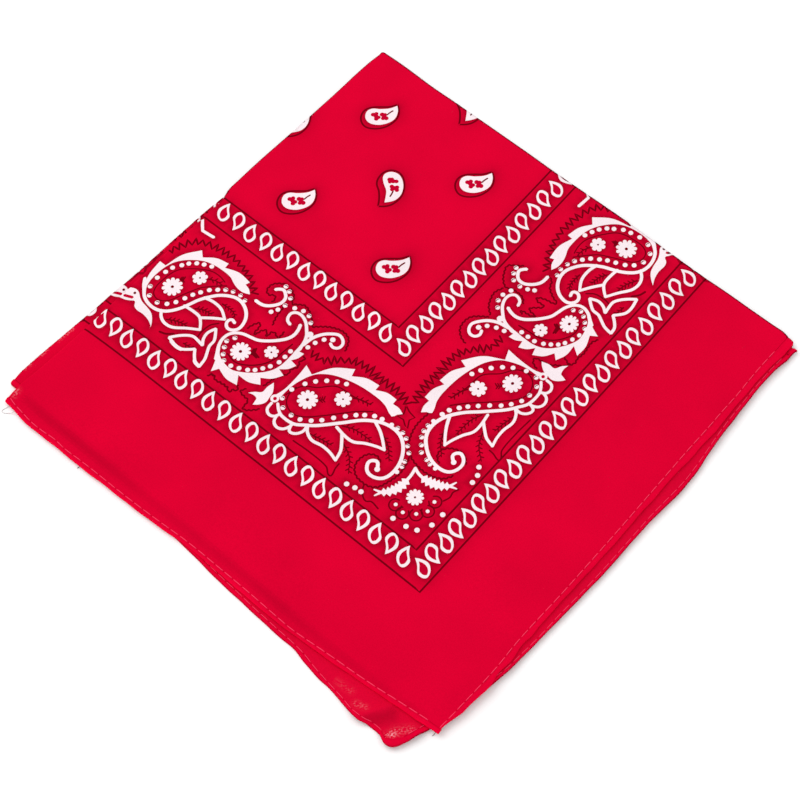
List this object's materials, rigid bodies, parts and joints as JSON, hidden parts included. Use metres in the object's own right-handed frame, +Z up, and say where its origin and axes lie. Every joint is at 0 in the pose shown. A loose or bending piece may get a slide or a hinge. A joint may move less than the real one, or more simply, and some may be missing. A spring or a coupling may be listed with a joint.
{
  "type": "folded bandana",
  "caption": "Square printed cotton bandana folded twice into a quarter and laid flat, with narrow stitched hems and one slipped corner.",
  "frame": {"origin": "middle of the folded quarter's plan, on the surface that it lies on", "axes": "+Z up through the layers; the back fold runs along +X and the left fold along Y, and the loose hem corner is at +X, -Y"},
  "size_m": [0.2872, 0.2938, 0.0057],
  "materials": {
    "printed_cotton": "plain-woven red cotton with a white and maroon paisley print, matt with a faint sheen",
    "cotton_wrong_side": "wrong side of the same cotton, the print showing faintly through",
    "cotton_hem": "narrow turned hem with a row of lighter red machine stitching"
  },
  "bodies": {
    "root": {"quarter_top": "printed_cotton", "quarter_second": "cotton_wrong_side", "under_layers": "cotton_wrong_side", "hem_top_front": "cotton_hem", "hem_top_right": "cotton_hem", "hem_second_front": "cotton_hem", "hem_second_right": "cotton_hem"}
  },
  "joints": []
}
